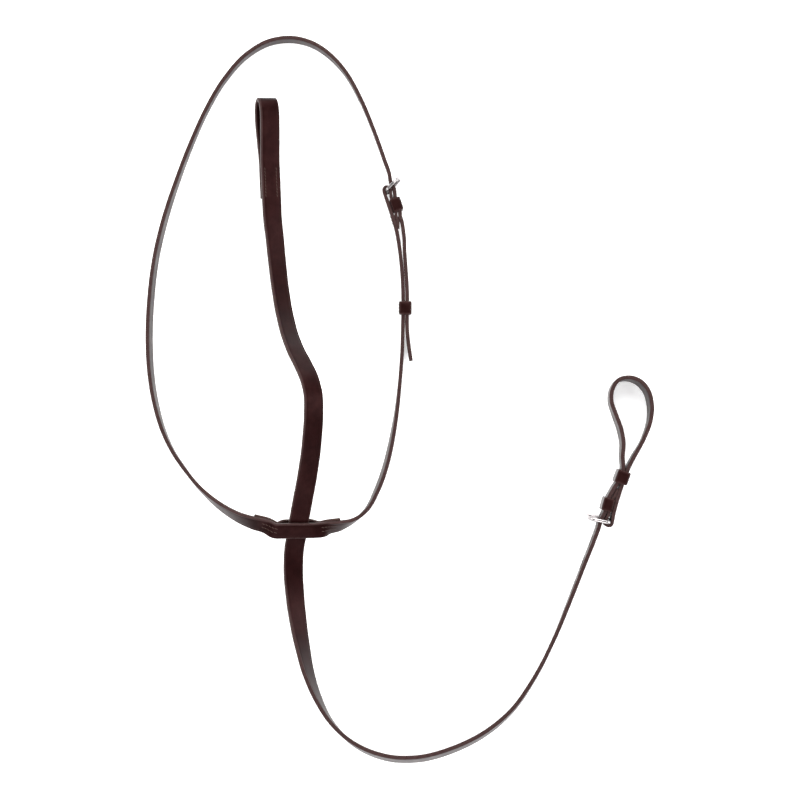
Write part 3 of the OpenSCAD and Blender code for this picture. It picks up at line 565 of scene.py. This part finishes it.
# ---- materials -----------------------------------------------------------------------------------
class Tree:
    """Short hand for building a node tree."""

    def __init__(self, tree):
        self.tree = tree

    def node(self, kind, inputs=None, **settings):
        n = self.tree.nodes.new(kind)
        for key, value in settings.items():
            setattr(n, key, value)
        for key, value in (inputs or {}).items():
            if isinstance(value, bpy.types.NodeSocket):
                self.tree.links.new(value, n.inputs[key])
            else:
                n.inputs[key].default_value = value
        return n

    def noise(self, vector, scale, detail=4.0, rough=0.6):
        return self.node("ShaderNodeTexNoise", {"Vector": vector, "Scale": scale, "Detail": detail,
                                                "Roughness": rough}).outputs["Fac"]

    def ramp(self, fac, lo, hi, a=0.0, b=1.0):
        return self.node("ShaderNodeMapRange", {"Value": fac, "From Min": lo, "From Max": hi, "To Min": a,
                                                "To Max": b}).outputs["Result"]

    def math(self, op, a, b=0.0):
        return self.node("ShaderNodeMath", {0: a, 1: b}, operation=op).outputs[0]

    def mix(self, fac, a, b):
        n = self.node("ShaderNodeMix", data_type="RGBA")
        for socket, value in ((0, fac), (6, a), (7, b)):
            if isinstance(value, bpy.types.NodeSocket):
                self.tree.links.new(value, n.inputs[socket])
            else:
                n.inputs[socket].default_value = value
        return n.outputs[2]


def group(name, inputs, outputs, build):
    """A node group: build(tree, input sockets) returns the output sockets in order."""
    g = bpy.data.node_groups.new(name, "ShaderNodeTree")
    for label, kind, value in inputs:
        s = g.interface.new_socket(label, in_out="INPUT", socket_type=kind)
        if value is not None:
            s.default_value = value
    for label, kind in outputs:
        g.interface.new_socket(label, in_out="OUTPUT", socket_type=kind)
    t = Tree(g)
    source = t.node("NodeGroupInput")
    made = build(t, source.outputs)
    sink = t.node("NodeGroupOutput")
    for (label, _), socket in zip(outputs, made):
        g.links.new(socket, sink.inputs[label])
    return g


def build_grain(t, i):
    """Leather height: pebbled pores, broad unevenness and short creases across bent places."""
    pores = t.node("ShaderNodeTexVoronoi", {"Vector": i["Vector"], "Scale": 1500.0},
                   feature="SMOOTH_F1").outputs[0]
    fine = t.noise(i["Vector"], 2600.0, 3.0)
    broad = t.noise(i["Vector"], 90.0, 3.0)
    stretched = t.node("ShaderNodeMapping", {"Vector": i["Strap"], "Scale": (1.0, 0.10, 1.0)}).outputs[0]
    crease = t.noise(stretched, 620.0, 3.0, 0.7)
    bent = t.ramp(t.math("ABSOLUTE", i["Bend"]), 8.0, 60.0)
    height = t.math("ADD", t.math("MULTIPLY", pores, 0.22), t.math("MULTIPLY", fine, 0.12))
    height = t.math("ADD", height, t.math("MULTIPLY", broad, 0.5))
    height = t.math("ADD", height, t.math("MULTIPLY", t.math("MULTIPLY", crease, bent), 0.7))
    return [height, broad]


def build_wear(t, i):
    """A mask of rubbed patches and fine scratches along the strap."""
    patch = t.ramp(t.noise(i["Vector"], 38.0, 5.0, 0.65), 0.48, 0.72)
    drawn = t.node("ShaderNodeMapping", {"Vector": i["Strap"], "Scale": (0.05, 1.0, 1.0)}).outputs[0]
    lines = t.ramp(t.noise(drawn, 2400.0, 2.0), 0.66, 0.74)
    return [patch, lines]


GRAIN = group("Leather grain", [("Vector", "NodeSocketVector", None), ("Strap", "NodeSocketVector", None),
                                ("Bend", "NodeSocketFloat", 0.0)],
              [("Height", "NodeSocketFloat"), ("Broad", "NodeSocketFloat")], build_grain)
WEAR = group("Leather wear", [("Vector", "NodeSocketVector", None), ("Strap", "NodeSocketVector", None)],
             [("Patch", "NodeSocketFloat"), ("Lines", "NodeSocketFloat")], build_wear)


def new_material(name):
    m = bpy.data.materials.new(name)
    m.use_nodes = True
    m.node_tree.nodes.clear()
    t = Tree(m.node_tree)
    shader = t.node("ShaderNodeBsdfPrincipled")
    out = t.node("ShaderNodeOutputMaterial")
    m.node_tree.links.new(shader.outputs[0], out.inputs[0])
    return m, t, shader


def leather(name, deep, face, rubbed, edge_colour, rough, coat):
    m, t, shader = new_material(name)
    link = m.node_tree.links.new
    coords = t.node("ShaderNodeTexCoord").outputs["Object"]
    strap_uv = t.node("ShaderNodeUVMap", uv_map="Strap").outputs[0]
    edge = t.node("ShaderNodeAttribute", attribute_name="edge").outputs["Fac"]
    bend = t.node("ShaderNodeAttribute", attribute_name="bend").outputs["Fac"]
    grain = t.node("ShaderNodeGroup", node_tree=GRAIN)
    wear = t.node("ShaderNodeGroup", node_tree=WEAR)
    for g in (grain, wear):
        link(coords, g.inputs["Vector"])
        link(strap_uv, g.inputs["Strap"])
    link(bend, grain.inputs["Bend"])
    tone = t.mix(t.ramp(grain.outputs["Broad"], 0.35, 0.65), deep, face)
    tone = t.mix(t.math("MULTIPLY", wear.outputs["Patch"], 0.5), tone, rubbed)
    tone = t.mix(t.math("MULTIPLY", wear.outputs["Lines"], 0.25), tone, edge_colour)
    rim = t.math("MULTIPLY", edge, t.ramp(t.noise(coords, 300.0), 0.3, 0.7, 0.55, 1.0))
    link(t.mix(rim, tone, edge_colour), shader.inputs["Base Color"])
    rubbed_rough = t.ramp(wear.outputs["Patch"], 0, 1, rough, rough - 0.1)
    link(t.math("ADD", rubbed_rough, t.math("MULTIPLY", edge, 0.06)), shader.inputs["Roughness"])
    bump = t.node("ShaderNodeBump", {"Height": grain.outputs["Height"], "Strength": 0.25, "Distance": 0.0001})
    link(bump.outputs[0], shader.inputs["Normal"])
    shader.inputs["Coat Weight"].default_value = coat
    shader.inputs["Coat Roughness"].default_value = 0.32
    shader.inputs["IOR"].default_value = 1.32
    shader.inputs["Specular Tint"].default_value = (0.26, 0.11, 0.11, 1)
    return m


def steel(name):
    m, t, shader = new_material(name)
    link = m.node_tree.links.new
    coords = t.node("ShaderNodeTexCoord").outputs["Object"]
    smear = t.noise(coords, 260.0, 5.0)
    drawn = t.node("ShaderNodeMapping", {"Vector": coords, "Scale": (1.0, 0.08, 1.0)}).outputs[0]
    scratch = t.noise(drawn, 3000.0, 2.0)
    tone = t.mix(t.ramp(smear, 0.3, 0.7), (0.24, 0.23, 0.23, 1), (0.42, 0.385, 0.39, 1))
    link(tone, shader.inputs["Base Color"])
    link(t.ramp(smear, 0.3, 0.75, 0.20, 0.30), shader.inputs["Roughness"])
    bump = t.node("ShaderNodeBump", {"Height": scratch, "Strength": 0.04, "Distance": 0.0001})
    link(bump.outputs[0], shader.inputs["Normal"])
    shader.inputs["Metallic"].default_value = 1.0
    return m


def thread_material(name):
    m, t, shader = new_material(name)
    link = m.node_tree.links.new
    coords = t.node("ShaderNodeTexCoord").outputs["Object"]
    fibre = t.noise(coords, 4000.0, 3.0)
    link(t.mix(fibre, (0.018, 0.010, 0.008, 1), (0.055, 0.036, 0.030, 1)), shader.inputs["Base Color"])
    bump = t.node("ShaderNodeBump", {"Height": fibre, "Strength": 0.4, "Distance": 0.0001})
    link(bump.outputs[0], shader.inputs["Normal"])
    shader.inputs["Roughness"].default_value = 0.55
    shader.inputs["Specular Tint"].default_value = (0.30, 0.20, 0.18, 1)
    return m


HAVANA = leather("Havana leather", (0.0050, 0.0009, 0.0009, 1), (0.0085, 0.0019, 0.0019, 1),
                 (0.018, 0.0065, 0.006, 1), (0.036, 0.022, 0.021, 1), 0.40, 0.0)
KEEPER_LEATHER = leather("Keeper leather", (0.0080, 0.0022, 0.0020, 1), (0.012, 0.0042, 0.0038, 1),
                         (0.022, 0.010, 0.009, 1), (0.032, 0.016, 0.015, 1), 0.34, 0.03)
BACKING = leather("Backing leather", (0.012, 0.005, 0.0045, 1), (0.02, 0.01, 0.009, 1),
                  (0.03, 0.018, 0.016, 1), (0.045, 0.028, 0.025, 1), 0.55, 0.0)
STEEL = steel("Polished steel")
THREAD = thread_material("Waxed thread")

# ---- the straps ----------------------------------------------------------------------------------
neck_turn = turned_end(neck_rail, NECK_T, NECK_LAYER, NECK_BAR, NECK_TURN_L)
girth_turn = turned_end(girth_rail, STAND_T, GIRTH_LAYER, GIRTH_BAR, GIRTH_TURN_L)


def tongue_place(wire, cross, bar, front):
    e = wire / 2 + EYE_CLEAR + TONGUE_D / 2
    return bar + front * math.sqrt(cross * cross - e * e) + turned(front, -90) * e


def fold_hole(layer, lead):
    """The slot for the tongue, from the turned end round the fold."""
    length = math.pi * layer["fold"] + 14 * MM
    return lead + math.pi * layer["fold"] / 2, length, HOLE_W + 0.4 * MM, TURN_T


p = np.vstack([neck_turn[0], neck_main.p])
w = np.vstack([neck_turn[1], neck_main.w])
LEAD = Rail(p, w).s[len(neck_turn[0])]
to_end = neck_main.end - neck_main.s
width = NECK_W * np.interp(to_end, np.array([0, 1, 2.5, 5, 10, 15]) * MM, [0.3, 0.45, 0.62, 0.82, 0.96, 1])
thick = np.interp(neck_main.s, [0, 12 * MM], [TURN_T, NECK_T])
hole_s = neck_main.nearest(tongue_place(NECK_WIRE, NECK_CROSS, NECK_BAR, NECK_FRONT),
                           neck_main.end - 0.19, neck_main.end - 0.15)
holes = [(LEAD + hole_s + i * HOLE_PITCH, HOLE_L, HOLE_W, NECK_T) for i in range(-3, 5)]
holes.append(fold_hole(NECK_LAYER, NECK_TURN_L))
obj = strap("neck_strap", p, w, np.concatenate([np.full(len(neck_turn[0]), NECK_W), width]),
            np.concatenate([neck_turn[2], thick]), NECK_W, NECK_T, holes)
finish_piece(obj, HAVANA, "neckpiece", ["neck_strap"])

p = np.vstack([girth_turn[0], stand_rail.p, loop_p[1:]])
w = np.vstack([girth_turn[1], stand_rail.w, np.tile(FOOT_W, (len(loop_p) - 1, 1))])
LEAD = Rail(p, w).s[len(girth_turn[0])]
hole_s = stand_rail.nearest(tongue_place(GIRTH_WIRE, GIRTH_CROSS, GIRTH_BAR, GIRTH_FRONT), 0.2, 0.42)
holes = [(LEAD + hole_s + i * HOLE_PITCH, HOLE_L, HOLE_W, STAND_T) for i in range(5)]
holes.append(fold_hole(GIRTH_LAYER, GIRTH_TURN_L))
thick = np.interp(stand_rail.s, [0, 12 * MM], [TURN_T, STAND_T])
obj = strap("standing_strap", p, w, np.full(len(p), STAND_W),
            np.concatenate([girth_turn[2], thick, np.full(len(loop_p) - 1, STAND_T)]),
            STAND_W, STAND_T, holes)
finish_piece(obj, HAVANA, "standing", ["standing_strap"])

s = np.arange(SLOT_S + 2 * MM - BACK_L / 2, SLOT_S + 2 * MM + BACK_L / 2, STEP)
p = neck_flat_rail.beside(s, np.full(len(s), -(NECK_T / 2 + SEWN + BACK_T / 2)))
p = p - SLOT_UP * (1 - SLOT_SHARE) * parting(neck_flat_rail.on(s))
back_w = NECK_W + 1 * MM
obj = strap("slot_backing", p, neck_flat_rail.axes(s)[1], np.full(len(s), back_w), np.full(len(s), BACK_T),
            back_w, BACK_T, [])
finish_piece(obj, BACKING, "neckpiece", ["neck_slot_backing"])

# ---- keepers -------------------------------------------------------------------------------------
for name, rail, w, t, layer, body in (
        ("neck_fixed_keeper", neck_rail, NECK_W, NECK_T, NECK_LAYER, "neckpiece"),
        ("girth_fixed_keeper", girth_rail, STAND_W, STAND_T, GIRTH_LAYER, "standing")):
    outer = -layer["over_tuck"] - t / 2 - KEEP_SLACK
    obj = keeper(name, rail, FIXED_KEEPER_S, w, outer, -t / 2 - SEWN - TUCK_T, TUCK_T)
    finish_piece(obj, KEEPER_LEATHER, body, [name])
for name, rail, s, w, t, layer, body in (
        ("neck_sliding_keeper", neck_rail, NECK_KEEPER_S, NECK_W, NECK_T, NECK_LAYER, "neck_keeper"),
        ("girth_sliding_keeper", girth_rail, GIRTH_KEEPER_S, STAND_W, STAND_T, GIRTH_LAYER, "girth_keeper")):
    obj = keeper(name, rail, s, w, -layer["double"] - t / 2 - KEEP_SLACK, t / 2 + KEEP_SLACK, KEEP_T)
    finish_piece(obj, KEEPER_LEATHER, body, [name])
    face = t / 2 + KEEP_SLACK + KEEP_T
    places = stitch_places(rail, s - 1.5 * STITCH_L, s + 1.5 * STITCH_L, 0, face - KEEP_T, face)
    obj = stitches(name + "_stitches", places[1::2])             # only the outer face shows its stitches
    finish_piece(obj, THREAD, body, [name + "_seam"])

# ---- buckles -------------------------------------------------------------------------------------
for name, wire, w, length, bar, front, prefix in (
        ("neck_buckle", NECK_WIRE, NECK_W, NECK_FRAME_L, NECK_BAR, NECK_FRONT, "neck"),
        ("girth_buckle", GIRTH_WIRE, STAND_W, GIRTH_FRAME_L, GIRTH_BAR, GIRTH_FRONT, "girth")):
    obj = buckle_frame(name + "_bar", wire, w + 2 * FRAME_CLEAR, length, bar, front)
    finish_piece(obj, STEEL, prefix + "_buckle", [prefix + "_buckle_frame"])
    obj = buckle_tongue(name + "_pin", wire, length, bar, front)
    finish_piece(obj, STEEL, prefix + "_tongue", [prefix + "_buckle_tongue"])

# ---- stitching -----------------------------------------------------------------------------------
back_face = NECK_T / 2 + SEWN + BACK_T
slot_end = SLOT_HALF + SLOT_RAMP
slot_seam_l = 18 * MM
for name, a, b, node in (
        ("slot_seam_right", SLOT_S - slot_end - slot_seam_l, SLOT_S - slot_end, "neck_slot_seam_right"),
        ("slot_seam_left", SLOT_S + slot_end, SLOT_S + slot_end + slot_seam_l, "neck_slot_seam_left")):
    places = []
    for y in (NECK_W / 2 - 4.9 * MM, NECK_W / 2 - 9.1 * MM):
        places += stitch_places(neck_flat_rail, a, b, y, -NECK_T / 2, back_face)
    finish_piece(stitches(name, places), THREAD, "neckpiece", [node])
for name, rail, w, t, turn_l, body in (
        ("neck_buckle_seam", neck_rail, NECK_W, NECK_T, NECK_TURN_L, "neckpiece"),
        ("girth_buckle_seam", girth_rail, STAND_W, STAND_T, GIRTH_TURN_L, "standing")):
    places = []
    for y in (w / 2 - STITCH_IN, STITCH_IN - w / 2):
        places += stitch_places(rail, 24.5 * MM, turn_l - 3 * MM, y, -t / 2 - SEWN - TURN_T * 0.9, t / 2)
    finish_piece(stitches(name, places), THREAD, body, [name])
s = np.arange(0, 40 * MM, 5 * MM)[:, None]
noseband_line = Rail(FOOT + FOOT_T * s, np.tile(FOOT_W, (len(s), 1)))
places = []
for y in (STITCH_IN + 1.2 * MM - STAND_W / 2, STAND_W / 2 - STITCH_IN):
    places += stitch_places(noseband_line, 3 * MM, 34 * MM, y, -1.5 * STAND_T - 2 * SEWN, STAND_T / 2)
finish_piece(stitches("noseband_loop_seam", places), THREAD, "standing", ["noseband_loop_seam"])

# ---- floor, light and camera ---------------------------------------------------------------------
reach = 12
corners = [(-reach, -reach, 0), (reach, -reach, 0), (reach, reach, 0), (-reach, reach, 0)]
floor = mesh_object("Floor", corners, [(0, 1, 2, 3)])
material, _, shader = new_material("Floor")
shader.inputs["Base Color"].default_value = (0.94, 0.94, 0.94, 1)
shader.inputs["Roughness"].default_value = 0.9
shader.inputs["Emission Color"].default_value = (1, 1, 1, 1)
shader.inputs["Emission Strength"].default_value = 0.28
floor.data.materials.append(material)


def area_light(name, place, target, size, power):
    light = bpy.data.lights.new(name, "AREA")
    light.shape, light.size, light.energy = "DISK", size, power
    obj = bpy.data.objects.new(name, light)
    bpy.context.scene.collection.objects.link(obj)
    obj.location = place
    way = np.array(target, float) - np.array(place, float)
    pitch = math.acos(-way[2] / np.linalg.norm(way))
    obj.rotation_euler = (pitch, 0, math.atan2(-way[0], way[1]))
    return obj


area_light("Key", (0.1, 2.3, 1.5), (0, 0.05, 0), 2.4, 125)
area_light("Left", (-2.3, 0.2, 1.3), (0, 0, 0), 2.2, 78)
area_light("Right", (2.3, 0.0, 1.3), (0, 0, 0), 2.2, 74)
area_light("Near", (-0.2, -2.4, 1.5), (0, 0, 0), 2.2, 70)
world = bpy.data.worlds.new("Studio")
bpy.context.scene.world = world
world.use_nodes = True
world.node_tree.nodes["Background"].inputs[0].default_value = (1, 1, 1, 1)
world.node_tree.nodes["Background"].inputs[1].default_value = 0.48
bpy.context.scene.view_settings.view_transform = "Standard"

camera_data = bpy.data.cameras.new("Camera")
camera_data.lens, camera_data.sensor_width = 90, 36
camera_data.clip_start, camera_data.clip_end = 0.05, 50
camera = bpy.data.objects.new("Camera", camera_data)
bpy.context.scene.collection.objects.link(camera)
camera.location = (0, 0, 2)
bpy.context.scene.camera = camera
